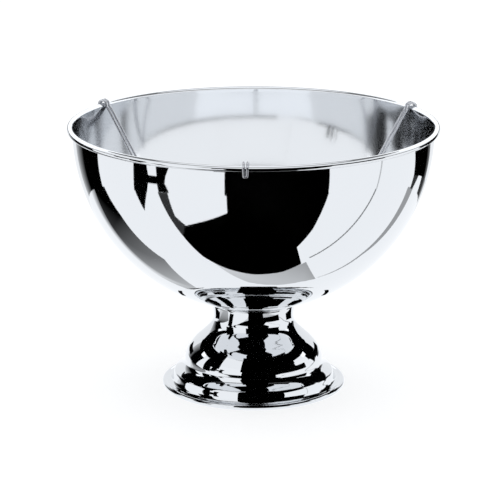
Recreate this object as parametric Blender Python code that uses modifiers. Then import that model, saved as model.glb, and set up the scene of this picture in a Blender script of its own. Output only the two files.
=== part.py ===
"""Footed punch bowl with a lift-out wire bottle divider.

The bowl and its pedestal foot are two spun sheets. The bowl's edge is curled outward into a hollow
bead, and the foot's edge is rolled under into the ring it stands on. A stud under the bowl passes
through the foot's dished top and is held by a washer and a nut inside the foot. The divider is three
hairpins of wire that hook over the bead and run down to a wire ring on the bottom of the bowl.

Metres, +Z up. The origin is on the table under the bowl's axis, and -Y is the front.
"""

import math

import bpy
from mathutils import Vector
from mathutils.geometry import interpolate_bezier

MM = 0.001

# Bowl
RIM_RADIUS = 190.0 * MM  # outside of the bead
BEAD_RADIUS = 3.2 * MM
BOWL_DEPTH = 188.0 * MM  # inside, from the bead's centre to the bottom
BOWL_SHEET = 0.9 * MM
BEAD_CLOSES_AT = -120.0  # degrees round the bead where the curled edge ends

# Foot
FOOT_HEIGHT = 84.6 * MM  # table to the underside of the bowl
FOOT_SHEET = 1.0 * MM
BASE_RADIUS = 95.0 * MM
BASE_ROLL_RADIUS = 2.8 * MM
BASE_LAND = 2.0 * MM  # width of the flat that stands on the table
FLANGE_RADIUS = 87.6 * MM  # inner edge of the flat flange
FLANGE_HEIGHT = 4.5 * MM
CREST_RADIUS = 82.0 * MM  # edge between the skirt's sweep and its riser
CREST_HEIGHT = 15.2 * MM
DOME_RADIUS = 71.4 * MM
DOME_HEIGHT = 27.0 * MM
SHOULDER_RADIUS = 55.5 * MM  # crease between the dome and the neck
SHOULDER_HEIGHT = 53.2 * MM
NECK_RADIUS = 41.6 * MM
NECK_DROP = 11.0 * MM  # waist of the neck below the underside of the bowl
SEAT_RADIUS = 44.2 * MM  # where the foot meets the bowl
SEAT_FOLD = 1.6 * MM

# Fixing inside the foot
STUD_RADIUS = 4.0 * MM
STUD_LENGTH = 24.0 * MM
HOLE_CLEARANCE = 0.4 * MM
WASHER_RADIUS = 15.0 * MM
WASHER_THICKNESS = 2.0 * MM
NUT_ACROSS_FLATS = 13.0 * MM
NUT_HEIGHT = 6.5 * MM

# Divider
WIRE_RADIUS = 1.25 * MM
RING_WIRE_RADIUS = 1.5 * MM
RING_RADIUS = 72.0 * MM
RING_CLEARANCE = 0.9 * MM  # from the ring's wire to the bowl
HOOK_CLEARANCE = 0.75 * MM  # from the hook's wire to the wall inside and the bead outside
HOOK_RISE = 1.0 * MM  # centre of the hook's arch above the bead's centre
HOOK_DROP = 8.5 * MM  # from the bead's centre down to the hook's tip
TIP_PITCH = 3.1 * MM  # between the two wires of a hairpin, at its closed end
RIM_PITCH = 4.8 * MM
FOOT_PITCH = 8.0 * MM
DIVIDER_TURN = -2.3  # degrees from the front to the first arm
ARM_NAMES = ("front", "right", "left")
ARM_ANGLES = (0.0, 120.0, -120.0)

GAP = 0.3 * MM  # between pieces that touch
TURN_STEPS = 48
BOWL_STEPS = 14

# Worked out from the sizes above
INSIDE_RADIUS = RIM_RADIUS - 2 * BEAD_RADIUS
BEAD_CENTRE = (RIM_RADIUS - BEAD_RADIUS, FOOT_HEIGHT + BOWL_SHEET + BOWL_DEPTH)
RIM_HEIGHT = BEAD_CENTRE[1]


def arc(centre, radius, start, end, steps):
    """Points on a circle in the radius-height plane, from start to end in degrees."""
    points = []
    for i in range(steps + 1):
        a = math.radians(start + (end - start) * i / steps)
        points.append((centre[0] + radius * math.cos(a), centre[1] + radius * math.sin(a)))
    return points


def sweep(start, start_way, end, end_way, steps):
    """Points on a Bezier curve that leaves start and reaches end in the given directions, in degrees."""
    a = Vector((*start, 0))
    b = Vector((*end, 0))
    reach = (b - a).length / 3
    out = Vector((math.cos(math.radians(start_way)), math.sin(math.radians(start_way)), 0))
    back = Vector((math.cos(math.radians(end_way)), math.sin(math.radians(end_way)), 0))
    curve = interpolate_bezier(a, a + out * reach, b - back * reach, b, steps + 1)
    return [(p.x, p.y) for p in curve]


def bowl_inside(radius):
    """Height of the bowl's inside surface, a quarter ellipse, at a radius."""
    return RIM_HEIGHT - BOWL_DEPTH * math.sqrt(1 - (radius / INSIDE_RADIUS) ** 2)


def bowl_underside(radius):
    """Height of the bowl's outside surface at a radius."""
    share = radius / (INSIDE_RADIUS + BOWL_SHEET)
    return RIM_HEIGHT - (BOWL_DEPTH + BOWL_SHEET) * math.sqrt(1 - share**2)


def bowl_slope(radius):
    """Slope of the bowl's inside surface at a radius, as an angle."""
    share = radius / INSIDE_RADIUS
    return math.atan(BOWL_DEPTH / INSIDE_RADIUS * share / math.sqrt(1 - share**2))


def joined(*stretches):
    """One list of points from stretches that meet end to end, each shared point kept once."""
    points = list(stretches[0])
    for stretch in stretches[1:]:
        first = stretch[0]
        same = math.dist(first, points[-1]) < 1e-6
        points += stretch[1:] if same else stretch
    return points


def new_collection(name):
    collection = bpy.data.collections.new(name)
    bpy.context.scene.collection.children.link(collection)
    return collection


def steel(name, colour, roughness):
    material = bpy.data.materials.new(name)
    material.use_nodes = True
    shader = material.node_tree.nodes["Principled BSDF"]
    shader.inputs["Base Color"].default_value = (*colour, 1)
    shader.inputs["Metallic"].default_value = 1.0
    shader.inputs["Roughness"].default_value = roughness
    return material


def add_piece(name, data, collection, parent, material):
    piece = bpy.data.objects.new(name, data)
    collection.objects.link(piece)
    data.materials.append(material)
    piece.parent = parent
    piece.matrix_parent_inverse = parent.matrix_world.inverted()
    return piece


def turned(name, profile, collection, parent, material, closed=False):
    """A piece turned about Z from a profile of (radius, height) points."""
    mesh = bpy.data.meshes.new(name)
    edges = [(i, i + 1) for i in range(len(profile) - 1)]
    if closed:
        edges.append((len(profile) - 1, 0))
    mesh.from_pydata([(r, 0, z) for r, z in profile], edges, [])
    piece = add_piece(name, mesh, collection, parent, material)
    screw = piece.modifiers.new("turn", "SCREW")
    screw.steps = TURN_STEPS
    screw.render_steps = TURN_STEPS
    screw.use_smooth_shade = True
    screw.use_merge_vertices = True
    screw.merge_threshold = 0.00001
    return piece


def sheet_wall(piece, thickness, side):
    """Gives a turned surface its sheet thickness, on the side its faces point to or behind them."""
    solidify = piece.modifiers.new("sheet", "SOLIDIFY")
    solidify.thickness = thickness
    solidify.offset = side
    solidify.use_even_offset = True


def make_bowl(collection, parent, material):
    """The inside surface, from the end of the curled edge round the bead and down to the bottom."""
    bead = arc(BEAD_CENTRE, BEAD_RADIUS, BEAD_CLOSES_AT, 180, 10)
    wall = []
    for i in range(1, BOWL_STEPS):
        a = math.pi / 2 * i / BOWL_STEPS
        wall.append((INSIDE_RADIUS * math.cos(a), RIM_HEIGHT - BOWL_DEPTH * math.sin(a)))
    bottom = [(0, RIM_HEIGHT - BOWL_DEPTH)]
    piece = turned("bowl_shell", bead + wall + bottom, collection, parent, material)
    sheet_wall(piece, BOWL_SHEET, 1)


def make_foot(collection, parent, material):
    """The outer surface, from the stud's hole across the dished top and down to the rolled base."""
    hole = STUD_RADIUS + HOLE_CLEARANCE
    seat = SEAT_RADIUS - SEAT_FOLD
    dish = []
    for i in range(5):
        r = hole + (seat - hole) * i / 4
        dish.append((r, bowl_underside(r) - GAP))
    fold_centre = (seat, dish[-1][1] - SEAT_FOLD)
    fold = arc(fold_centre, SEAT_FOLD, 90, -10, 3)
    waist = (NECK_RADIUS, FOOT_HEIGHT - NECK_DROP)
    shoulder = (SHOULDER_RADIUS, SHOULDER_HEIGHT)
    belly = (DOME_RADIUS, DOME_HEIGHT)
    crest = (CREST_RADIUS, CREST_HEIGHT)
    flange = (FLANGE_RADIUS, FLANGE_HEIGHT)
    land = math.degrees(math.asin(BASE_LAND / 2 / BASE_ROLL_RADIUS))
    roll_centre = (BASE_RADIUS - BASE_ROLL_RADIUS, BASE_ROLL_RADIUS * math.cos(math.radians(land)))
    profile = joined(
        dish,
        fold,
        sweep(fold[-1], -110, waist, -90, 2),
        sweep(waist, -90, shoulder, -44, 5),
        sweep(shoulder, -40, belly, -90, 5),
        sweep(belly, -90, crest, -34, 4),
        sweep(crest, -62, flange, -12, 3),
        arc(roll_centre, BASE_ROLL_RADIUS, 125, -90 + land, 6),
        arc(roll_centre, BASE_ROLL_RADIUS, -90 - land, -165, 2),
    )
    piece = turned("pedestal_foot", profile, collection, parent, material)
    sheet_wall(piece, FOOT_SHEET, -1)


def make_fixing(collection, parent, material):
    """The stud under the bowl, and the washer and nut that hold the foot on it."""
    stud_top = FOOT_HEIGHT - GAP
    chamfer = STUD_RADIUS / 4
    stud = [
        (0, stud_top),
        (STUD_RADIUS, stud_top),
        (STUD_RADIUS, stud_top - STUD_LENGTH + chamfer),
        (STUD_RADIUS - chamfer, stud_top - STUD_LENGTH),
        (0, stud_top - STUD_LENGTH),
    ]
    turned("mounting_stud", stud, collection, parent, material)
    bore = STUD_RADIUS + HOLE_CLEARANCE
    washer_top = FOOT_HEIGHT - 2 * GAP - FOOT_SHEET
    washer_base = washer_top - WASHER_THICKNESS
    washer = [
        (bore, washer_top),
        (WASHER_RADIUS, washer_top),
        (WASHER_RADIUS, washer_base),
        (bore, washer_base),
    ]
    turned("load_washer", washer, collection, parent, material, closed=True)
    make_nut(bore, washer_base - GAP, collection, parent, material)


def make_nut(bore, top, collection, parent, material):
    """A hexagon with a round bore, from two outlines of one flat curve."""
    outline = bpy.data.curves.new("foot_nut", "CURVE")
    outline.dimensions = "2D"
    outline.fill_mode = "BOTH"
    outline.extrude = NUT_HEIGHT / 2
    corner = NUT_ACROSS_FLATS / 2 / math.cos(math.radians(30))
    for sides, radius in ((6, corner), (24, bore)):
        spline = outline.splines.new("POLY")
        spline.points.add(sides - 1)
        for i, point in enumerate(spline.points):
            a = 2 * math.pi * i / sides
            point.co = (radius * math.cos(a), radius * math.sin(a), 0, 1)
        spline.use_cyclic_u = True
    nut = add_piece("foot_nut", outline, collection, parent, material)
    nut.location.z = top - NUT_HEIGHT / 2


def wire(name, points, radius, collection, parent, material, cyclic=False):
    """A round wire along points given in world coordinates, placed under its parent."""
    curve = bpy.data.curves.new(name, "CURVE")
    curve.dimensions = "3D"
    curve.bevel_depth = radius
    curve.bevel_resolution = 2
    curve.use_fill_caps = not cyclic
    spline = curve.splines.new("POLY")
    spline.points.add(len(points) - 1)
    for target, point in zip(spline.points, points):
        target.co = (*point, 1)
    spline.use_cyclic_u = cyclic
    return add_piece(name, curve, collection, parent, material)


def ring_height():
    """Height of the ring's centre line, with the ring's wire just clear of the bowl."""
    slope = bowl_slope(RING_RADIUS)
    return bowl_inside(RING_RADIUS) + (RING_WIRE_RADIUS + RING_CLEARANCE) / math.cos(slope)


def arm_line():
    """One wire of an arm as (radius, height, half the pitch), from the ring up and over the bead."""
    inner = INSIDE_RADIUS - HOOK_CLEARANCE - WIRE_RADIUS
    outer = RIM_RADIUS + HOOK_CLEARANCE + WIRE_RADIUS
    reach = (outer - inner) / 2
    crown = ((inner + outer) / 2, RIM_HEIGHT + HOOK_RISE)
    hook = arc(crown, reach, 180, 0, 6)
    tip = (outer, RIM_HEIGHT - HOOK_DROP + WIRE_RADIUS + TIP_PITCH / 2)
    ring = Vector((math.sqrt(RING_RADIUS**2 - (FOOT_PITCH / 2) ** 2), ring_height()))
    leg = (Vector(hook[0]) - ring).normalized()
    foot = ring + leg * (RING_WIRE_RADIUS + 2 * GAP)
    line = [(*foot, FOOT_PITCH / 2)]
    stretch = math.pi * reach + (crown[1] - tip[1])
    for i, (r, z) in enumerate(hook):
        share = math.pi * reach * i / (len(hook) - 1) / stretch
        line.append((r, z, (RIM_PITCH + (TIP_PITCH - RIM_PITCH) * share) / 2))
    line.append((*tip, TIP_PITCH / 2))
    return line


def make_arm(name, angle, collection, parent, material):
    """A hairpin: up one wire, round the closed end below the bead outside, and back down the other."""
    one = arm_line()
    tip_radius, tip_height = one[-1][:2]
    bend = []
    for i in range(1, 6):
        a = math.pi * i / 6
        side = TIP_PITCH / 2 * math.cos(a)
        bend.append((tip_radius, tip_height - TIP_PITCH / 2 * math.sin(a), side))
    other = [(r, z, -side) for r, z, side in reversed(one)]
    a = math.radians(angle)
    outward = Vector((math.sin(a), -math.cos(a), 0))
    across = Vector((math.cos(a), math.sin(a), 0))
    points = [outward * r + across * side + Vector((0, 0, z)) for r, z, side in one + bend + other]
    wire(name, points, WIRE_RADIUS, collection, parent, material)


def make_divider(collection, parent, material):
    for name, angle in zip(ARM_NAMES, ARM_ANGLES):
        make_arm("divider_arm_" + name, DIVIDER_TURN + angle, collection, parent, material)
    height = ring_height()
    circle = []
    for i in range(TURN_STEPS):
        a = 2 * math.pi * i / TURN_STEPS
        circle.append((RING_RADIUS * math.cos(a), RING_RADIUS * math.sin(a), height))
    wire("divider_base_ring", circle, RING_WIRE_RADIUS, collection, parent, material, cyclic=True)


def add_empty(name, collection, height):
    empty = bpy.data.objects.new(name, None)
    empty.location.z = height
    collection.objects.link(empty)
    bpy.context.view_layer.update()
    return empty


def main():
    for old in list(bpy.data.objects):
        bpy.data.objects.remove(old)
    collection = new_collection("punch_bowl")
    polished = steel("polished_steel", (0.78, 0.79, 0.80), 0.06)
    brushed = steel("brushed_steel", (0.66, 0.67, 0.68), 0.25)
    plated = steel("plated_fixing", (0.60, 0.61, 0.62), 0.35)
    wire_steel = steel("wire_steel", (0.72, 0.73, 0.74), 0.15)
    body = add_empty("bowl_axis", collection, 0)
    lift = add_empty("divider_lift", collection, ring_height())
    make_bowl(collection, body, polished)
    make_foot(collection, body, brushed)
    make_fixing(collection, body, plated)
    make_divider(collection, lift, wire_steel)


main()
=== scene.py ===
# %% [markdown]
# # A footed punch bowl in polished steel
#
# The bowl and its foot are sheet steel, spun over wooden or steel formers on a lathe and then buffed
# to a mirror. A wire divider hooks over the rim and lifts out. This lesson builds each piece as a
# surface worked out with numpy: either a section turned about the bowl's axis, or a circle carried
# along a bent line. A mirror has almost no look of its own, so the last steps build the studio that
# it reflects.
#
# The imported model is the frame. Its boxes give the places and most sizes, and the thin details that
# a box can't tell are repeated here as named sizes in metres.

import math

import bmesh
import bpy
import numpy as np
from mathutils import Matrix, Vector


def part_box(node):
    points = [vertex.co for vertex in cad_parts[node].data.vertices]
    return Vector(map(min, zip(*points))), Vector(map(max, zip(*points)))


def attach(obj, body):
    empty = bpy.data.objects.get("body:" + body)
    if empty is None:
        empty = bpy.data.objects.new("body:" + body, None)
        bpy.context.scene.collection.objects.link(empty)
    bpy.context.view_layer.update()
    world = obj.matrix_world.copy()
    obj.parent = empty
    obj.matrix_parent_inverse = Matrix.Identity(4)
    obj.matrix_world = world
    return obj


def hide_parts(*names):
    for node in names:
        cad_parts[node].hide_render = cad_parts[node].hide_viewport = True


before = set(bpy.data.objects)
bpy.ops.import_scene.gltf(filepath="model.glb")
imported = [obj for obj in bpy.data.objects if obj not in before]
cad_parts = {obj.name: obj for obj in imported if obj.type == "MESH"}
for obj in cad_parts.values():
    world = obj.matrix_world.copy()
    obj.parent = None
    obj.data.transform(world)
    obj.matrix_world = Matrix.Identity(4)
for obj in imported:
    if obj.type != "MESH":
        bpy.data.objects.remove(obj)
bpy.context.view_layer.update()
MM = 0.001

# %% [markdown]
# ## Sizes
#
# Everything that the bowl, the foot and the divider share comes from the boxes of the frame's nodes:
# the rim's radius, the height of the bead, the foot's height and the ring's radius. Sheet thickness,
# bend radii and the foot's stations are the maker's own sizes, which no box shows. The boxes of the
# foot and of one arm are printed beside the finished lines, as a check.

# %% Sizes from the frame, and the maker's own sizes
bowl_low, bowl_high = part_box("bowl_shell")
foot_low, foot_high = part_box("pedestal_foot")
ring_low, ring_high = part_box("divider_base_ring")
arm_low, arm_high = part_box("divider_arm_front")
stud_low, stud_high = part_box("mounting_stud")
washer_low, washer_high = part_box("load_washer")
nut_low, nut_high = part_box("foot_nut")

BEAD_RADIUS = 3.2 * MM
BOWL_SHEET = 0.9 * MM
BEAD_CLOSES_AT = -120  # degrees round the bead where the curled edge ends
RIM_RADIUS = bowl_high.x
RIM_HEIGHT = bowl_high.z - BEAD_RADIUS
INSIDE_RADIUS = RIM_RADIUS - 2 * BEAD_RADIUS
FOOT_HEIGHT = bowl_low.z
BOWL_DEPTH = RIM_HEIGHT - FOOT_HEIGHT - BOWL_SHEET

FOOT_SHEET = 1.0 * MM
BASE_RADIUS = 95.0 * MM
BASE_ROLL_RADIUS = 2.8 * MM
BASE_LAND = 2.0 * MM
SEAT_GAP = 0.3 * MM

WIRE_RADIUS = 1.25 * MM
RING_WIRE_RADIUS = (ring_high.z - ring_low.z) / 2
RING_RADIUS = ring_high.x - RING_WIRE_RADIUS
RING_HEIGHT = (ring_high.z + ring_low.z) / 2
print(f"rim {RIM_RADIUS / MM:.1f} mm, depth {BOWL_DEPTH / MM:.1f} mm, ring {RING_RADIUS / MM:.1f} mm")

# %% [markdown]
# ## From a grid of points to a mesh
#
# Every new piece is a grid: rows go one way over the surface and columns the other. The faces are
# the same for every grid, so one helper makes them. Where a row shrinks to a point, as at the
# bottom of the bowl, merging the doubled points turns the squares into the triangles of a pole.
# The signed volume of the closed mesh tells whether its faces point outwards.


# %% The grid helper
def grid_faces(rows, columns, close_rows, close_columns):
    """Corner numbers of the squares between neighbouring rows and columns, as an (n, 4) array."""
    i, j = np.meshgrid(
        np.arange(rows if close_rows else rows - 1),
        np.arange(columns if close_columns else columns - 1),
        indexing="ij",
    )
    i, j = i.ravel(), j.ravel()
    i2, j2 = (i + 1) % rows, (j + 1) % columns
    return np.stack([i * columns + j, i2 * columns + j, i2 * columns + j2, i * columns + j2], axis=1)


def signed_volume(points, faces):
    """Sum over the faces of the volume between each face and the origin, positive when they face out."""
    a, b, c, d = (points[faces[:, k]] for k in range(4))
    first = np.einsum("ij,ij->i", a, np.cross(b, c))
    second = np.einsum("ij,ij->i", a, np.cross(c, d))
    return (first.sum() + second.sum()) / 6


def solid(name, grids, close_rows, close_columns):
    """One closed mesh from grids of points, each of shape (rows, columns, 3), with doubled points merged."""
    points, faces, start = [], [], 0
    for grid in grids:
        own = grid.reshape(-1, 3)
        own_faces = grid_faces(*grid.shape[:2], close_rows, close_columns)
        if signed_volume(own, own_faces) < 0:
            own_faces = own_faces[:, ::-1]
        points.append(own)
        faces.append(own_faces + start)
        start += len(own)
    mesh = bpy.data.meshes.new(name)
    mesh.from_pydata(np.concatenate(points), [], np.concatenate(faces))
    shape = bmesh.new()
    shape.from_mesh(mesh)
    bmesh.ops.remove_doubles(shape, verts=shape.verts, dist=1e-7)
    bmesh.ops.delete(shape, geom=[e for e in shape.edges if e.is_wire], context="EDGES")
    open_edges = sum(not e.is_manifold for e in shape.edges)
    shape.to_mesh(mesh)
    shape.free()
    mesh.shade_smooth()
    piece = bpy.data.objects.new(name, mesh)
    bpy.context.scene.collection.objects.link(piece)
    print(f"{name}: {len(mesh.polygons)} faces, {open_edges} open edges")
    return piece


# %% [markdown]
# ## Sections
#
# A section is drawn in two sizes: the distance from the axis, and the height. Round stretches are
# arcs, and the long sweeps of a spun sheet are Bezier curves, because a spinner's roller leaves the
# former in exactly such fair lines. A sheet is one line given a thickness: the second face of the
# sheet is the line moved sideways by the gauge.


# %% Arcs, sweeps and sheets
def arc(centre, radius, start, end, steps):
    """Points at centre + radius * (cos a, sin a), with a going evenly from start to end degrees."""
    a = np.radians(np.linspace(start, end, steps + 1))
    return np.stack([centre[0] + radius * np.cos(a), centre[1] + radius * np.sin(a)], axis=1)


def way(degrees):
    """The unit direction at an angle above the horizontal."""
    return np.array([math.cos(math.radians(degrees)), math.sin(math.radians(degrees))])


def sweep(start, start_way, end, end_way, steps):
    """A cubic Bezier: (1-t)^3 a + 3(1-t)^2 t b + 3(1-t) t^2 c + t^3 d, its handles a third of the span."""
    a, d = np.array(start, float), np.array(end, float)
    reach = np.linalg.norm(d - a) / 3
    b, c = a + way(start_way) * reach, d - way(end_way) * reach
    t = np.linspace(0, 1, steps + 1)[:, None]
    return (1 - t) ** 3 * a + 3 * (1 - t) ** 2 * t * b + 3 * (1 - t) * t**2 * c + t**3 * d


def joined(*stretches):
    """One line from stretches that meet end to end, with no point twice."""
    line = np.concatenate(stretches)
    step = np.linalg.norm(np.diff(line, axis=0), axis=1)
    return line[np.concatenate([[True], step > 1e-6])]


def side_of(line):
    """Unit normals of a line: its tangent turned a quarter turn anticlockwise."""
    tangent = np.gradient(line, axis=0)
    tangent /= np.linalg.norm(tangent, axis=1)[:, None]
    return np.stack([-tangent[:, 1], tangent[:, 0]], axis=1)


def sheet_section(line, gauge):
    """A closed outline: the line, and back along the same line moved sideways by the gauge."""
    return np.concatenate([line, (line + side_of(line) * gauge)[::-1]])


def turned(section, steps):
    """Section point (r, h) turned by angle a lies at (r cos a, r sin a, h)."""
    a = np.linspace(0, 2 * math.pi, steps, endpoint=False)[:, None]
    r, h = section[:, 0][None, :], section[:, 1][None, :]
    return np.stack([r * np.cos(a), r * np.sin(a), h + 0 * a], axis=2)


# %% [markdown]
# ## The bowl
#
# The bowl is one spun sheet. Its inside is a quarter ellipse that is nearly a half circle, and at
# the rim the sheet is curled outward into a hollow bead, which stiffens the edge and leaves nothing
# sharp to touch. The section follows the sheet's inner face: from the end of the curl, round the
# bead, and down the wall to the bottom. Drawing the curl as real geometry matters, because a mirror
# finish shows the bead's two bright lines only if its roundness is real.

# %% The bowl's section
BOWL_TURN_STEPS = 320
WALL_STEPS = 96


def bowl_wall(steps):
    """The inside of the bowl: radius R cos a and height H - D sin a, from the rim to the bottom."""
    a = np.linspace(0, math.pi / 2, steps + 1)
    r = INSIDE_RADIUS * np.cos(a)
    r[-1] = 0
    return np.stack([r, RIM_HEIGHT - BOWL_DEPTH * np.sin(a)], axis=1)


bead_centre = (RIM_RADIUS - BEAD_RADIUS, RIM_HEIGHT)
bead = arc(bead_centre, BEAD_RADIUS, BEAD_CLOSES_AT, 180, 40)
bowl_line = joined(bead, bowl_wall(WALL_STEPS))
bowl_outline = sheet_section(bowl_line, BOWL_SHEET)
bowl_outline[len(bowl_line), 0] = 0
print(f"bowl section: {len(bowl_outline)} points")

# %% The bowl's mesh
bowl = solid("bowl", [turned(bowl_outline, BOWL_TURN_STEPS)], True, True)

# %% [markdown]
# ## The foot
#
# The foot is a second spun sheet. Its dished top fits under the bowl, and from there the line falls
# through a narrow neck to a soft crease, swells into a dome, sweeps out over a stepped skirt and
# ends in a flat flange whose edge is rolled under. The lowest part of the roll is dressed flat, so
# that the foot stands without rocking.

# %% The foot's section
FOOT_TURN_STEPS = 256
HOLE_RADIUS = 4.4 * MM
SEAT_RADIUS = 44.2 * MM
SEAT_STEPS = 12
SEAT_FOLD = 1.6 * MM
WAIST = (41.6 * MM, FOOT_HEIGHT - 11.0 * MM)
SHOULDER = (55.5 * MM, 53.2 * MM)
BELLY = (71.4 * MM, 27.0 * MM)
CREST = (82.0 * MM, 15.2 * MM)
FLANGE = (87.6 * MM, 4.5 * MM)


def bowl_underside(r):
    """Height of the bowl's outer face at radius r, from the ellipse one gauge larger."""
    share = r / (INSIDE_RADIUS + BOWL_SHEET)
    return RIM_HEIGHT - (BOWL_DEPTH + BOWL_SHEET) * np.sqrt(1 - share**2)


dish_r = np.linspace(HOLE_RADIUS, SEAT_RADIUS - SEAT_FOLD, SEAT_STEPS + 1)
dish = np.stack([dish_r, bowl_underside(dish_r) - SEAT_GAP], axis=1)
fold = arc((dish[-1, 0], dish[-1, 1] - SEAT_FOLD), SEAT_FOLD, 90, -10, 8)
half_land = math.degrees(math.asin(BASE_LAND / 2 / BASE_ROLL_RADIUS))
roll_centre = (BASE_RADIUS - BASE_ROLL_RADIUS, BASE_ROLL_RADIUS * math.cos(math.radians(half_land)))

# Each sweep is given its way at both ends in degrees, and -90 is straight down
foot_line = joined(
    dish,
    fold,
    sweep(fold[-1], -110, WAIST, -90, 10),
    sweep(WAIST, -90, SHOULDER, -44, 18),
    sweep(SHOULDER, -40, BELLY, -90, 20),
    sweep(BELLY, -90, CREST, -34, 14),
    sweep(CREST, -62, FLANGE, -12, 10),
    arc(roll_centre, BASE_ROLL_RADIUS, 125, half_land - 90, 16),
    arc(roll_centre, BASE_ROLL_RADIUS, -90 - half_land, -165, 5),
)
foot_outline = sheet_section(foot_line, -FOOT_SHEET)
print(f"foot section: {len(foot_outline)} points")
print(f"base radius {BASE_RADIUS / MM:.2f} mm, and the foot's box ends at {foot_high.x / MM:.2f} mm")

# %% The foot's mesh
foot = solid("foot", [turned(foot_outline, FOOT_TURN_STEPS)], True, True)

# %% [markdown]
# ## The fixing inside the foot
#
# A threaded stud is welded under the bowl and passes through the foot's dished top. A washer spreads
# the load and a nut holds the foot. The thread is a turned surface whose radius also depends on the
# angle: at each height the crest sits a little further round, which makes one continuous helix. The
# nut is a hexagon turned into a grid: its radius is that of the six flats, and near its two faces
# a cone cuts the corners away, as on any machined nut.

# %% The stud
STUD_RADIUS = stud_high.x
THREAD_PITCH = 1.25 * MM
THREAD_DEPTH = 0.6 * MM
THREAD_STEEPNESS = 1.3  # over 1, the V is steeper than it is wide and its crest is flat
THREAD_STEPS_PER_PITCH = 8
STUD_CHAMFER = 1.0 * MM
STUD_TURN_STEPS = 48
stud_length = stud_high.z - stud_low.z


def thread_wave(turns):
    """A V with a flat crest: 0 on the crest, at whole turns, and 1 in the root, at half turns."""
    return 1 - np.clip(np.abs(2 * (turns % 1) - 1) * THREAD_STEEPNESS, 0, 1)


rows = int(stud_length / THREAD_PITCH * THREAD_STEPS_PER_PITCH)
height, angle = np.meshgrid(
    np.linspace(stud_low.z, stud_high.z, rows),
    np.linspace(0, 2 * math.pi, STUD_TURN_STEPS, endpoint=False),
    indexing="ij",
)
radius = STUD_RADIUS - THREAD_DEPTH * thread_wave(height / THREAD_PITCH + angle / (2 * math.pi))
from_end = np.minimum(height - stud_low.z, stud_high.z - height)
radius = np.minimum(radius, STUD_RADIUS - STUD_CHAMFER + from_end)
stud_skin = np.stack([radius * np.cos(angle), radius * np.sin(angle), height], axis=2)
on_axis = 0 * angle[:1]
foot_cap, top_cap = (np.stack([on_axis, on_axis, on_axis + z], axis=2) for z in (stud_low.z, stud_high.z))
stud = solid("stud", [np.concatenate([foot_cap, stud_skin, top_cap])], False, True)

# %% The washer
WASHER_RADIUS = washer_high.x
WASHER_TURN_STEPS = 96
EDGE_ROUND = 0.4 * MM


def rounded_ring(inner, outer, low, high, round_radius, steps):
    """Outline of a flat ring: quarter circles at its four corners, joined by straight sides."""
    corners = [
        (outer - round_radius, high - round_radius, 0),
        (inner + round_radius, high - round_radius, 90),
        (inner + round_radius, low + round_radius, 180),
        (outer - round_radius, low + round_radius, 270),
    ]
    return np.concatenate([arc((r, z), round_radius, a, a + 90, steps) for r, z, a in corners])


washer_outline = rounded_ring(HOLE_RADIUS, WASHER_RADIUS, washer_low.z, washer_high.z, EDGE_ROUND, 5)
washer = solid("washer", [turned(washer_outline, WASHER_TURN_STEPS)], True, True)

# %% The nut
NUT_FLAT = nut_high.y
NUT_CORNER = nut_high.x
NUT_FACE_RADIUS = NUT_FLAT * 0.97
NUT_CONE = 1.7  # how much the cone's radius grows for each step away from a face
NUT_EDGE = 0.05 * MM
BORE_CHAMFER = 0.5 * MM
NUT_TURN_STEPS = 144
SIDE_POINTS, FACE_POINTS = 15, 6
SIXTH_TURN = math.pi / 3


def over_face(start, end, level):
    """A stretch of the nut's outline over one face, from radius start to radius end."""
    return np.stack([np.linspace(start, end, FACE_POINTS), np.full(FACE_POINTS, level)], axis=1)


nut_angle = np.linspace(0, 2 * math.pi, NUT_TURN_STEPS, endpoint=False)[:, None]
hexagon = NUT_FLAT / np.cos(nut_angle % SIXTH_TURN - SIXTH_TURN / 2)
side = np.linspace(nut_low.z + NUT_EDGE, nut_high.z - NUT_EDGE, SIDE_POINTS)
bore = [nut_high.z - BORE_CHAMFER, nut_low.z + BORE_CHAMFER]
nut_outline = np.concatenate(
    [
        np.stack([np.full(SIDE_POINTS, NUT_CORNER), side], axis=1),
        over_face(NUT_FACE_RADIUS, HOLE_RADIUS + BORE_CHAMFER, nut_high.z),
        np.stack([np.full(2, HOLE_RADIUS), bore], axis=1),
        over_face(HOLE_RADIUS + BORE_CHAMFER, NUT_FACE_RADIUS, nut_low.z),
    ]
)
r, h = nut_outline[:, 0][None, :], nut_outline[:, 1][None, :]
cone = NUT_FACE_RADIUS + NUT_CONE * np.minimum(h - nut_low.z, nut_high.z - h)
r = np.minimum(np.minimum(r, hexagon), cone)
nut_skin = np.stack([r * np.cos(nut_angle), r * np.sin(nut_angle), h + 0 * r], axis=2)
nut = solid("nut", [nut_skin], True, True)

# %% [markdown]
# ## The divider
#
# Three hairpins of drawn wire hang over the rim and are welded to a wire ring that stands on the
# bottom. Each hairpin runs up from the ring, over the bead, round a small closed end outside the rim
# and back down beside itself. Its centre line lives in a plane of radius and height, with the
# spread to one side as a third size. The bend where the straight leg turns into the hook is a short
# sweep, because wire can't turn a sharp corner.

# %% The centre line of one hairpin
HOOK_CLEARANCE = 0.75 * MM
HOOK_RISE = 1.0 * MM
HOOK_DROP = 8.5 * MM
TIP_PITCH = 3.1 * MM
RIM_PITCH = 4.8 * MM
FOOT_PITCH = 8.0 * MM
LEG_BEND = 7.0 * MM
HOOK_START = 176  # degrees round the crown where the bend out of the leg ends
HOOK_EASE = 0.4 * MM
LEG_STEPS = 39
LEG_CROWDING = 0.8  # under 1, the points of the leg lie closer together towards the rim

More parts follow.
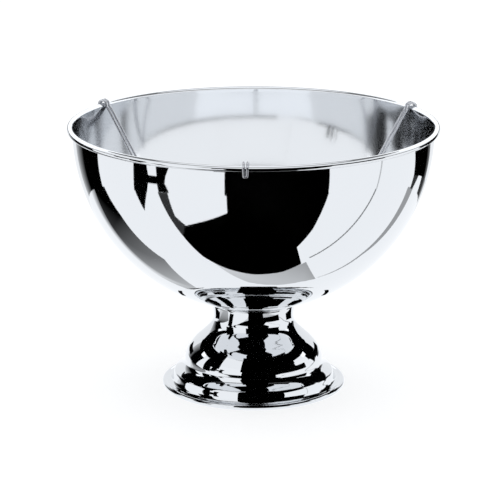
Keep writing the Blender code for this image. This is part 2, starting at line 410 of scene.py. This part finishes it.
hook_inner = INSIDE_RADIUS - HOOK_CLEARANCE - WIRE_RADIUS
hook_outer = RIM_RADIUS + HOOK_CLEARANCE + WIRE_RADIUS
hook_reach = (hook_outer - hook_inner) / 2
hook_crown = ((hook_inner + hook_outer) / 2, RIM_HEIGHT + HOOK_RISE)
leg_foot = np.array([math.sqrt(RING_RADIUS**2 - (FOOT_PITCH / 2) ** 2), RING_HEIGHT])
leg_top = np.array([hook_inner, hook_crown[1]])
leg_way = (leg_top - leg_foot) / np.linalg.norm(leg_top - leg_foot)
leg_angle = math.degrees(math.atan2(leg_way[1], leg_way[0]))
bend_start = leg_top - leg_way * LEG_BEND
tip_height = RIM_HEIGHT - HOOK_DROP + WIRE_RADIUS + TIP_PITCH / 2


def spread_along(line, near, far):
    """Half the gap between the two wires, going evenly from near / 2 to far / 2 along the line."""
    run = np.concatenate([[0], np.cumsum(np.linalg.norm(np.diff(line, axis=0), axis=1))])
    return near / 2 + (far - near) / 2 * run / run[-1]


leg_share = np.linspace(0, 1, LEG_STEPS + 1)[:, None] ** LEG_CROWDING
leg = leg_foot + (bend_start - leg_foot) * leg_share
hook = joined(
    sweep(bend_start, leg_angle, (hook_inner, hook_crown[1] + HOOK_EASE), 90, 10),
    arc(hook_crown, hook_reach, HOOK_START, 0, 22),
    np.array([[hook_outer, z] for z in np.linspace(hook_crown[1], tip_height, 9)]),
)
leg_spread = spread_along(leg, FOOT_PITCH, RIM_PITCH)
hook_spread = spread_along(hook, RIM_PITCH, TIP_PITCH)
spread = np.concatenate([leg_spread, hook_spread[1:]])
one_wire = np.column_stack([joined(leg, hook), spread])
round_end = arc((0, tip_height), TIP_PITCH / 2, 0, -180, 12)[1:-1]
end_wire = np.column_stack([np.full(len(round_end), hook_outer), round_end[:, 1], round_end[:, 0]])
hairpin = np.concatenate([one_wire, end_wire, one_wire[::-1] * [1, 1, -1]])
hook_top = hook_crown[1] + hook_reach + WIRE_RADIUS
print(f"hairpin: {len(hairpin)} points, leg at {leg_angle:.1f} degrees")
print(f"hook top {hook_top / MM:.2f} mm, and the front arm's box ends at {arm_high.z / MM:.2f} mm")

# %% [markdown]
# A wire is a circle carried along its line. The circle's two side directions are carried along too:
# at each point the last side direction loses the part along the wire and is made a unit again. It
# is a short loop over the points of one line, and it keeps the tube from twisting where the hairpin
# turns back on itself.


# %% A wire along a line
def smoothed(line, times):
    """Each inner point becomes half of itself and a quarter of each neighbour, so corners ease."""
    for _ in range(times):
        line = np.concatenate([line[:1], line[:-2] / 4 + line[1:-1] / 2 + line[2:] / 4, line[-1:]])
    return line


def frames(line, first_side):
    """Two unit directions across a line at each point, carried along it without twisting."""
    tangent = np.gradient(line, axis=0)
    tangent /= np.linalg.norm(tangent, axis=1)[:, None]
    sides = np.empty_like(line)
    side = np.array(first_side, float)
    for i, t in enumerate(tangent):
        side = side - t * side.dot(t)
        side /= np.linalg.norm(side)
        sides[i] = side
    return sides, np.cross(tangent, sides)


def tube(line, radius, first_side, sides):
    """A circle of the given radius at each point, in the plane across the line, and a point at each end."""
    u, v = frames(line, first_side)
    a = np.linspace(0, 2 * math.pi, sides, endpoint=False)[None, :, None]
    skin = line[:, None] + radius[:, None, None] * (u[:, None] * np.cos(a) + v[:, None] * np.sin(a))
    ends = [np.repeat(line[i][None, None], sides, axis=1) for i in (0, -1)]
    return np.concatenate([ends[0], skin, ends[1]])


# %% The three hairpins
ARMS = {"front": 0, "right": 120, "left": -120}
DIVIDER_TURN = -2.3  # degrees that the whole divider stands turned on the rim
WIRE_SIDES = 18
WELD_SPREAD = 0.9 * MM
WELD_LENGTH = 2.2 * MM


def weld_swell(line):
    """The wire's radius, growing near both ends by a bell-shaped swell where weld metal has run up it."""
    steps = np.linalg.norm(np.diff(line, axis=0), axis=1)
    run = np.concatenate([[0], np.cumsum(steps)])
    from_end = np.minimum(run, run[-1] - run)
    return WIRE_RADIUS + WELD_SPREAD * np.exp(-((from_end / WELD_LENGTH) ** 2))


arms = {}
for arm_name, arm_angle in ARMS.items():
    a = math.radians(arm_angle + DIVIDER_TURN)
    outward = np.array([math.sin(a), -math.cos(a), 0])
    across = np.array([math.cos(a), math.sin(a), 0])
    line = hairpin[:, :1] * outward + hairpin[:, 2:] * across + hairpin[:, 1:2] * np.array([0, 0, 1])
    line = smoothed(line, 2)
    skin = tube(line, weld_swell(line), across, WIRE_SIDES)
    arms[arm_name] = solid(f"arm_{arm_name}", [skin], False, True)

# %% The base ring
RING_TURN_STEPS = 200
around = np.linspace(0, 2 * math.pi, RING_TURN_STEPS, endpoint=False)[:, None]
section_angle = np.linspace(0, 2 * math.pi, WIRE_SIDES, endpoint=False)[None, :]
reach = RING_RADIUS + RING_WIRE_RADIUS * np.cos(section_angle)
rise = RING_HEIGHT + RING_WIRE_RADIUS * np.sin(section_angle)
ring_skin = np.stack([reach * np.cos(around), reach * np.sin(around), rise + 0 * around], axis=2)
ring = solid("base_ring", [ring_skin], True, True)

# %% [markdown]
# ## Placing the pieces
#
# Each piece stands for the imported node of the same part, rides on that node's body and names the
# material slot it takes its finish from.

# %% Bodies, nodes and slots
placed = [
    (bowl, "bowl", "bowl_shell", "polished_bowl"),
    (foot, "bowl", "pedestal_foot", "polished_foot"),
    (stud, "bowl", "mounting_stud", "fixing"),
    (washer, "bowl", "load_washer", "fixing"),
    (nut, "bowl", "foot_nut", "fixing"),
    (ring, "divider", "divider_base_ring", "wire"),
    *((arm, "divider", f"divider_arm_{name}", "wire") for name, arm in arms.items()),
]
for piece, body, node, finish in placed:
    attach(piece, body)
    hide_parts(node)
print(len(placed), "pieces placed")

# %% [markdown]
# ## Finishes
#
# Stainless steel buffed to a mirror is a fully metallic surface that returns about four fifths of
# the light. That share matters inside the bowl: light that reaches the eye after two or three
# bounces is darker each time, and this is what shades the inside. The polish is never perfect. The
# lathe and the mop leave fine rings round the axis, and wiping leaves faint clouds in the shine.
# The inside is a little duller all over, because the mop is harder to hold there, so the bowl's
# points carry a mark that says which of them are inside. The rings are a noise squeezed along the
# height, and the clouds are a large, weak noise in the roughness.

# %% Where the inside of the bowl is
ELLIPSE_SLACK = 0.0005
points = np.empty(len(bowl.data.vertices) * 3, np.float32)
bowl.data.vertices.foreach_get("co", points)
points = points.reshape(-1, 3)
out_share = np.hypot(points[:, 0], points[:, 1]) / INSIDE_RADIUS
down_share = (RIM_HEIGHT - points[:, 2]) / BOWL_DEPTH
on_ellipse = out_share**2 + down_share**2 < 1 + ELLIPSE_SLACK
inside = on_ellipse & (down_share > 0)
inside_mark = bowl.data.attributes.new("inside", "FLOAT", "POINT")
inside_mark.data.foreach_set("value", inside.astype(np.float32))
print(f"{inside.mean():.0%} of the bowl's points are on its inside")


# %% A steel finish
CLOUD_SCALE = 22
CLOUD_SPAN = (0.35, 0.7)
TURNING_SCALE = 6
BUMP_HEIGHT = 0.1 * MM


def links(tree, *pairs):
    """A link for each pair of an output and an input."""
    for source, target in pairs:
        tree.links.new(source, target)


def noise(tree, scale, detail):
    """A cloud-like pattern between 0 and 1, with the given number of finer layers on top."""
    node = tree.nodes.new("ShaderNodeTexNoise")
    node.inputs["Scale"].default_value = scale
    node.inputs["Detail"].default_value = detail
    return node


def steel(name, colour, roughness, cloud, ring_stretch, ring_depth, inside_roughness=0.0):
    """Metal with roughness r + cloud * noise, more by inside_roughness inside, and rings as a bump."""
    material = bpy.data.materials.new(name)
    material.use_nodes = True
    tree = material.node_tree
    shader = tree.nodes["Principled BSDF"]
    shader.inputs["Base Color"].default_value = (*colour, 1)
    shader.inputs["Metallic"].default_value = 1
    place = tree.nodes.new("ShaderNodeTexCoord")
    clouds = noise(tree, CLOUD_SCALE, 3)
    span = tree.nodes.new("ShaderNodeMapRange")
    span.inputs["From Min"].default_value = CLOUD_SPAN[0]
    span.inputs["From Max"].default_value = CLOUD_SPAN[1]
    span.inputs["To Min"].default_value = roughness
    span.inputs["To Max"].default_value = roughness + cloud
    mark = tree.nodes.new("ShaderNodeAttribute")
    mark.attribute_name = "inside"
    dull = tree.nodes.new("ShaderNodeMath")
    dull.operation = "MULTIPLY_ADD"
    dull.inputs[1].default_value = inside_roughness
    stretch = tree.nodes.new("ShaderNodeMapping")
    stretch.inputs["Scale"].default_value = (1, 1, ring_stretch)
    rings = noise(tree, TURNING_SCALE, 2)
    bump = tree.nodes.new("ShaderNodeBump")
    bump.inputs["Strength"].default_value = ring_depth
    bump.inputs["Distance"].default_value = BUMP_HEIGHT
    links(
        tree,
        (place.outputs["Object"], clouds.inputs["Vector"]),
        (clouds.outputs["Fac"], span.inputs["Value"]),
        (mark.outputs["Fac"], dull.inputs[0]),
        (span.outputs["Result"], dull.inputs[2]),
        (dull.outputs["Value"], shader.inputs["Roughness"]),
        (place.outputs["Object"], stretch.inputs["Vector"]),
        (stretch.outputs["Vector"], rings.inputs["Vector"]),
        (rings.outputs["Fac"], bump.inputs["Height"]),
        (bump.outputs["Normal"], shader.inputs["Normal"]),
    )
    return material


# %% The finishes
POLISHED = (0.785, 0.80, 0.82)
DRAWN = (0.60, 0.61, 0.64)
PLATED = (0.66, 0.66, 0.65)
finishes = {
    "polished_bowl": steel("mirror_polished_steel", POLISHED, 0.015, 0.03, 260, 0.05, 0.08),
    "polished_foot": steel("mirror_polished_foot", POLISHED, 0.02, 0.03, 200, 0.05),
    "wire": steel("drawn_wire_steel", DRAWN, 0.14, 0.08, 120, 0.15),
    "fixing": steel("plated_fixing_steel", PLATED, 0.28, 0.15, 60, 0.2),
}
for piece, body, node, finish in placed:
    piece.data.materials.append(finishes[finish])
print("finishes:", ", ".join(m.name for m in finishes.values()))

# %% [markdown]
# ## The studio
#
# A mirror shows only what stands round it. In a still-life studio a chrome bowl stands on a small
# white table in a white tent. A dark gap is left in front for the camera, and black flags stand
# between the white walls, so that the bright metal gets dark lines that tell its shape. Here the
# tent is the white world, and the walls, the table top and the flags are cards. The cards show in
# reflections only: the camera doesn't see them, they cast no shadow and they don't darken the floor.

# %% Tent, floor and soft light
COOL_WHITE = (0.955, 0.975, 1.0, 1)
TENT_STRENGTH = 1.06
FLOOR_HALF = 6.0
FLOOR_GREY = 0.45
FLOOR_GLOW = 0.62
LAMP_WIDTH = 2.0
LAMP_HEIGHT = 2.5
LAMP_POWER = 6

scene = bpy.context.scene
scene.view_settings.view_transform = "Standard"
world = bpy.data.worlds.new("tent")
world.use_nodes = True
world.node_tree.nodes["Background"].inputs["Color"].default_value = COOL_WHITE
world.node_tree.nodes["Background"].inputs["Strength"].default_value = TENT_STRENGTH
scene.world = world

floor_paint = bpy.data.materials.new("pale_floor")
floor_paint.use_nodes = True
paint = floor_paint.node_tree.nodes["Principled BSDF"]
paint.inputs["Base Color"].default_value = (FLOOR_GREY, FLOOR_GREY, FLOOR_GREY, 1)
paint.inputs["Roughness"].default_value = 0.9
paint.inputs["Specular IOR Level"].default_value = 0
paint.inputs["Emission Color"].default_value = (1, 1, 1, 1)
paint.inputs["Emission Strength"].default_value = FLOOR_GLOW
floor_mesh = bpy.data.meshes.new("floor")
floor_corner = FLOOR_HALF * np.array([(-1, -1, 0), (1, -1, 0), (1, 1, 0), (-1, 1, 0)], float)
floor_mesh.from_pydata(floor_corner, [], [(0, 1, 2, 3)])
floor_mesh.materials.append(floor_paint)
floor = bpy.data.objects.new("floor", floor_mesh)
scene.collection.objects.link(floor)
floor.visible_glossy = False

lamp_data = bpy.data.lights.new("overhead_softbox", "AREA")
lamp_data.shape = "DISK"
lamp_data.size = LAMP_WIDTH
lamp_data.energy = LAMP_POWER
lamp = bpy.data.objects.new("overhead_softbox", lamp_data)
lamp.location = (0, 0, LAMP_HEIGHT)
lamp.visible_glossy = False
scene.collection.objects.link(lamp)
print(f"floor {2 * FLOOR_HALF:.0f} m wide, lamp {LAMP_WIDTH:.0f} m wide at {LAMP_HEIGHT} m")

# %% [markdown]
# Each card carries its tone in an attribute, from 0 for black velvet to over 1 for a lit white wall,
# and the tone may change from one edge to the other. One material turns the tone into light. A
# second one does the same on the card's front only, for cards that the far wall of the bowl must
# be able to look through from behind.

# %% The light of a card
WHITE, LIGHT, GREY, DARK, BLACK = 1.09, 0.60, 0.24, 0.04, 0.0


def glow(name, one_sided):
    """Light of a card's own tone; a one-sided card lets rays through from behind."""
    material = bpy.data.materials.new(name)
    material.use_nodes = True
    tree = material.node_tree
    tree.nodes.clear()
    tone = tree.nodes.new("ShaderNodeAttribute")
    tone.attribute_name = "tone"
    emission = tree.nodes.new("ShaderNodeEmission")
    emission.inputs["Color"].default_value = COOL_WHITE
    surface = tree.nodes.new("ShaderNodeOutputMaterial")
    links(tree, (tone.outputs["Fac"], emission.inputs["Strength"]))
    last = emission.outputs["Emission"]
    if one_sided:
        side = tree.nodes.new("ShaderNodeNewGeometry")
        clear = tree.nodes.new("ShaderNodeBsdfTransparent")
        mix = tree.nodes.new("ShaderNodeMixShader")
        links(
            tree,
            (side.outputs["Backfacing"], mix.inputs[0]),
            (last, mix.inputs[1]),
            (clear.outputs["BSDF"], mix.inputs[2]),
        )
        last = mix.outputs["Shader"]
    links(tree, (last, surface.inputs["Surface"]))
    return material


card_glow = glow("card_glow", False)
front_glow = glow("card_glow_from_the_front", True)
print("lights of the cards:", card_glow.name, "and", front_glow.name)

# %% [markdown]
# Most cards are of three kinds, and their sizes are in millimetres. A standing card is a strip of an
# upright drum round the bowl, given by the directions of its two edges at the bottom and at the
# top. A lid card is a piece of a flat ring, by default on top of the drum. A table card lies on the
# table and is an outline of a few corners. The drum ends just above the rim, so the bowl's outside
# sees all of it and the inside sees hardly any.


# %% Helpers for the cards
DRUM_RADIUS = 600
DRUM_TOP = 287
cards = []


def card(name, points, faces, tone, material=card_glow):
    """A sheet with a tone at each point, seen in reflections only."""
    mesh = bpy.data.meshes.new(name)
    mesh.from_pydata(points, [], faces)
    tones = mesh.attributes.new("tone", "FLOAT", "POINT")
    tones.data.foreach_set("value", np.broadcast_to(tone, len(points)).astype(np.float32))
    mesh.materials.append(material)
    sheet = bpy.data.objects.new(name, mesh)
    scene.collection.objects.link(sheet)
    sheet.visible_camera = sheet.visible_diffuse = sheet.visible_shadow = False
    sheet.visible_transmission = sheet.visible_volume_scatter = False
    cards.append(sheet)


def compass(degrees):
    """The unit direction on the table at an angle from the front, -Y, towards the right, +X."""
    a = np.radians(degrees)
    return np.stack([np.sin(a), -np.cos(a), 0 * a], axis=-1)


def standing_card(name, low, high, bottom, top, tone, radius=DRUM_RADIUS, steps=40):
    """A strip of a drum: its edges go from the low pair of degrees up to the high pair."""
    share = np.linspace(0, 1, 5)[:, None]
    across = np.linspace(0, 1, steps + 1)[None, :]
    left = low[0] + (high[0] - low[0]) * share
    right = low[1] + (high[1] - low[1]) * share
    points = compass(left + (right - left) * across) * radius * MM
    points[..., 2] = (bottom + (top - bottom) * share) * MM
    tone = np.atleast_1d(tone)
    tones = np.interp(across + 0 * share, np.linspace(0, 1, len(tone)), tone)
    card(name, points.reshape(-1, 3), grid_faces(5, steps + 1, False, False), tones.ravel())


def lid_card(name, from_way, to_way, inner, outer, tone, height=DRUM_TOP, steps=36):
    """A piece of a flat ring at one height: radius from inner to outer, way from from_way to to_way."""
    out = np.array([inner, outer])[:, None, None] * MM
    points = compass(np.linspace(from_way, to_way, steps + 1)[None, :]) * out
    points[..., 2] = height * MM
    card(name, points.reshape(-1, 3), grid_faces(2, steps + 1, False, False), tone)


def table_card(name, outline, height, tone):
    """A flat card whose corners are given as (right, back)."""
    corner = np.array(outline, float) * MM
    points = np.column_stack([corner, np.full(len(corner), height * MM)])
    card(name, points, [tuple(range(len(corner)))], tone)


# %% White walls and table top
ALL_ROUND = (-180, 180)
WALL_RADIUS = 612
TABLE_RADIUS = 640
# Heights of what lies on the table, each a little above what it covers
TABLE, EDGE, SHADE, STRIP, CORD = 0.1, 0.2, 0.3, 0.4, 0.5

standing_card("white_walls", ALL_ROUND, ALL_ROUND, 0, DRUM_TOP, WHITE, WALL_RADIUS, 180)
lid_card("white_table", *ALL_ROUND, 0, TABLE_RADIUS, WHITE, TABLE, 180)
print(len(cards), "cards so far")

# %% [markdown]
# The gap and the flags stand on the drum from lower to upper parts, because each of them changes its
# width at a few heights: where the bar between the two left flags begins and ends, and where the
# gap widens. The names say where a card stands, seen from the front.

# %% The dark gap in front, and the flags round the bowl
BAR_BOTTOM, BAR_TOP = 50, 95
GAP_STEP = 150
LEFT_BACK_TONES = (LIGHT, GREY, BLACK, BLACK, BLACK, BLACK)
RIGHT_HIGH_TONES = (BLACK, BLACK, BLACK, BLACK, GREY)

standing_card("gap", (-16, 43), (-15, 41), 0, GAP_STEP, BLACK)
standing_card("gap_upper", (-21, 43), (-21, 43), GAP_STEP, DRUM_TOP, BLACK)
standing_card("gap_right", (43, 73), (43, 73), GAP_STEP, DRUM_TOP, BLACK)
standing_card("flag_left_back", (-138, -105), (-134, -96), 0, DRUM_TOP, LEFT_BACK_TONES)
standing_card("flag_left_low", (-74, -64), (-72, -61.5), 0, BAR_BOTTOM, BLACK)
standing_card("flag_left_bar", (-72, -50.5), (-70.5, -49), BAR_BOTTOM, BAR_TOP, BLACK)
standing_card("flag_left_high", (-70.5, -60), (-69, -60), BAR_TOP, GAP_STEP, BLACK)
standing_card("flag_left_top", (-79, -57), (-79, -57), GAP_STEP, DRUM_TOP, BLACK)
standing_card("flag_left_inner_low", (-56, -49), (-55.5, -50), 0, BAR_BOTTOM, BLACK)
standing_card("flag_left_inner_high", (-54.5, -49), (-54, -46), BAR_TOP, GAP_STEP, BLACK)
standing_card("flag_right_low", (114, 118), (113, 121), 0, BAR_BOTTOM, DARK)
standing_card("flag_right_high", (113, 140), (107, 134), BAR_BOTTOM, GAP_STEP, RIGHT_HIGH_TONES)
standing_card("flag_right_top", (104, 134), (103, 134), GAP_STEP, DRUM_TOP, BLACK)
standing_card("flag_right_back", (131, 145), (128, 143), 0, 52, (DARK, DARK, LIGHT))
standing_card("cord_right", (76.3, 77.2), (75, 76), 0, GAP_STEP, LIGHT)
standing_card("back_wall", (138, 222), (134, 226), 0, DRUM_TOP, 0.98, 606)
print(len(cards), "cards so far")

# %% [markdown]
# Small flags stand close round the foot, as strips of black paper do in a studio. The foot is
# so narrow that a flag out on the drum would show in it as a thin line only.

# %% Flags round the foot and its neck
CLOSE_RADIUS = 100

standing_card("foot_flag", (-13, 24), (-13, 24), 4, 34, BLACK, CLOSE_RADIUS)
standing_card("neck_flag", (-12.5, 18), (-12.5, 18), 34, 78, BLACK, CLOSE_RADIUS)
standing_card("neck_flag_right", (18, 66), (18, 66), 28, 46, BLACK, CLOSE_RADIUS + 2)
standing_card("neck_edge_left", (-119, -96), (-119, -96), 38, 51, BLACK, CLOSE_RADIUS)
standing_card("neck_line_left", (-62, -51), (-62, -51), 24, 72, BLACK, CLOSE_RADIUS)
standing_card("neck_edge_right", (90, 118), (90, 118), 38, 51, BLACK, CLOSE_RADIUS)
print(len(cards), "cards so far")

# %% [markdown]
# Above the drum come the things that the bowl's inside sees: a bright sheet that hangs behind the
# bowl, and the grey seam between the tent's walls and its roof. The lid cards on top of the drum
# are dark boards between the walls and the bowl. The outside sees them just under the rim.

# %% The bright sheet, the seam and the dark boards
BRIGHT = 1.34
SEAM_TONE = 0.22
BRIGHT_BOTTOM, BRIGHT_TOP = 288, 755
SEAM_BOTTOM, SEAM_TOP = 760, 1250
BOARD_INNER, BOARD_MIDDLE = 235, 450

standing_card("bright_back", (98, 262), (98, 262), BRIGHT_BOTTOM, BRIGHT_TOP, BRIGHT)
standing_card("seam_ring", ALL_ROUND, ALL_ROUND, SEAM_BOTTOM, SEAM_TOP, SEAM_TONE, steps=180)
lid_card("lid_front", -21, 75, BOARD_INNER, DRUM_RADIUS, BLACK)
lid_card("lid_right", 75, 150, BOARD_INNER, BOARD_MIDDLE, BLACK)
lid_card("lid_right_back", 108, 150, BOARD_MIDDLE, DRUM_RADIUS, BLACK)
lid_card("lid_left", -150, -57, BOARD_INNER, BOARD_MIDDLE, BLACK)
lid_card("lid_left_back", -150, -108, BOARD_MIDDLE, DRUM_RADIUS, BLACK)
lid_card("lid_left_front", -80, -57, BOARD_MIDDLE, DRUM_RADIUS, BLACK)
print(len(cards), "cards so far")

# %% [markdown]
# The lower half of the bowl looks down on the table. The dark floor of the gap shows there as the
# lower part of the large black shape, the table's front edge is a grey crescent under it, and dark
# strips at both sides run out from the bowl towards the flags.

# %% What lies on the table
GAP_OUTLINE = [
    (-170, -620), (-155, -580), (-110, -420), (-195, -310), (-228, -260), (-205, -212), (-120, -174),
    (-60, -158), (0, -146), (60, -143), (106, -151), (115, -220), (190, -268), (240, -308), (440, -460),
    (150, -640),
]
EDGE_OUTLINE = [(-118, -184), (-10, -116), (90, -80), (116, -64), (118, -150), (50, -148), (-60, -164)]
EDGE_TONES = (0.85, 0.68, 0.62, 0.5, 0.42, 0.6, 0.78)
NEAR_FRONT, NEAR_BACK = (-192, -66), (-235, 75)
MIDDLE_FRONT, MIDDLE_BACK = (-400, 18), (-330, 150)
FAR_FRONT, FAR_BACK = (-612, 150), (-540, 300)
SHADE_OUTLINE = [NEAR_FRONT, NEAR_BACK, MIDDLE_BACK, FAR_BACK, (-480, 370), (-230, 110), (-112, 8), (-98, -30)]
SHADE_TONES = (GREY, GREY, GREY, GREY, WHITE, WHITE, LIGHT, LIGHT)
FAR_OUTLINE = [MIDDLE_FRONT, FAR_FRONT, FAR_BACK, MIDDLE_BACK]
NEAR_OUTLINE = [NEAR_FRONT, MIDDLE_FRONT, MIDDLE_BACK, NEAR_BACK]
LEFT_OUTLINE = [(-395, -160), (-605, -172), (-545, -266)]
LEFT_FRONT_OUTLINE = [(-205, -212), (-500, -330), (-460, -384), (-290, -276), (-220, -264)]
RIGHT_OUTLINE = [(110, -72), (230, -4), (575, 215), (535, 295), (228, 6)]
CORD_OUTLINE = [(130, -162), (600, -146), (600, -135), (130, -158)]

table_card("gap_floor", GAP_OUTLINE, STRIP, BLACK)
table_card("table_edge", EDGE_OUTLINE, EDGE, EDGE_TONES)
table_card("strip_left_far", FAR_OUTLINE, STRIP, (BLACK, BLACK, BLACK, DARK))
table_card("strip_left_near", NEAR_OUTLINE, STRIP, (GREY, BLACK, DARK, GREY))
table_card("strip_left_grey", SHADE_OUTLINE, SHADE, SHADE_TONES)
table_card("strip_left", LEFT_OUTLINE, STRIP, BLACK)
table_card("strip_left_front", LEFT_FRONT_OUTLINE, STRIP, DARK)
table_card("strip_right", RIGHT_OUTLINE, STRIP, 0.4)
table_card("cord_front", CORD_OUTLINE, CORD, GREY)
print(len(cards), "cards so far")

# %% [markdown]
# Two more flags stand over the front of the rim and darken the left and right ends of the inside.
# There the light runs along the wall, bounce after bounce, and leaves on the opposite side towards
# the front. The bowl's far wall looks at the same place once, from the middle of the bowl. So each
# flag is turned edge-on to the middle, and the far wall doesn't see it.
#
# Beside the left rim stand slats, like the grid of a softbox. Each is turned edge-on to what the
# middle of the far wall sees, so they darken only the light that crosses them on the slant.

# %% The two flags over the rim
RIM_FLAG_BOTTOM = 282.5


def rim_flag(name, start, end, top, tones):
    """An upright card between two points (right, back); its face is on the left of that way."""
    share = np.linspace(0, 1, len(tones))[:, None]
    plan = np.array(start, float) + (np.array(end, float) - np.array(start, float)) * share
    low, high = (np.column_stack([plan, np.full(len(tones), z)]) for z in (RIM_FLAG_BOTTOM, top))
    faces = grid_faces(2, len(tones), False, False)
    card(name, np.concatenate([low, high]) * MM, faces, np.tile(tones, 2), front_glow)


rim_flag("rim_flag_left", (-230, -365), (-88, -84), 420, (BLACK, BLACK, BLACK, BLACK, DARK, GREY))
rim_flag("rim_flag_right", (112, -131), (215, -335), 400, (WHITE, LIGHT, GREY, GREY, GREY, GREY))
print(len(cards), "cards so far")

# %% The slats and the softbox
HALF_SLAT = 30 * compass(-61)[:2]  # from a slat's middle to its end
SLAT_TOP = 311
SLATS_RIGHT = -208
SLATS_BACK = range(-66, 60, 18)
SOFTBOX_TONE = 1.15
SOFTBOX_HEIGHT = 1300

for number, back in enumerate(SLATS_BACK):
    middle = np.array([SLATS_RIGHT, back])
    rim_flag(f"rim_slat_{number}", middle + HALF_SLAT, middle - HALF_SLAT, SLAT_TOP, (BLACK, BLACK))
lid_card("softbox", *ALL_ROUND, 0.1, 420, SOFTBOX_TONE, SOFTBOX_HEIGHT)
print(len(cards), "cards in all")

# %% [markdown]
# ## The camera
#
# The camera looks down a little over fifteen degrees through a long lens, from about two and a half
# metres, so that the rim is a narrow ellipse and the inside of the far wall shows.

# %% Camera
CAMERA_LENS = 183.16
CAMERA_SENSOR = 36
CAMERA_SHIFT = -0.007
CAMERA_REACH = 50
CAMERA_DISTANCE = 2.625
CAMERA_TILT = 15.3
AIM_HEIGHT = 142.7 * MM

camera_data = bpy.data.cameras.new("camera")
camera_data.lens = CAMERA_LENS
camera_data.sensor_width = CAMERA_SENSOR
camera_data.shift_x = CAMERA_SHIFT
camera_data.clip_end = CAMERA_REACH
camera = bpy.data.objects.new("camera", camera_data)
scene.collection.objects.link(camera)
tilt = math.radians(CAMERA_TILT)
camera.location = (0, -CAMERA_DISTANCE * math.cos(tilt), AIM_HEIGHT + CAMERA_DISTANCE * math.sin(tilt))
camera.rotation_euler = (math.pi / 2 - tilt, 0, 0)
scene.camera = camera
print("camera at", tuple(round(c, 3) for c in camera.location))

# %% [markdown]
# ## The end
#
# The view layer is brought up to date, so that every piece stands where it was put.

# %% Bring the view layer up to date
bpy.context.view_layer.update()
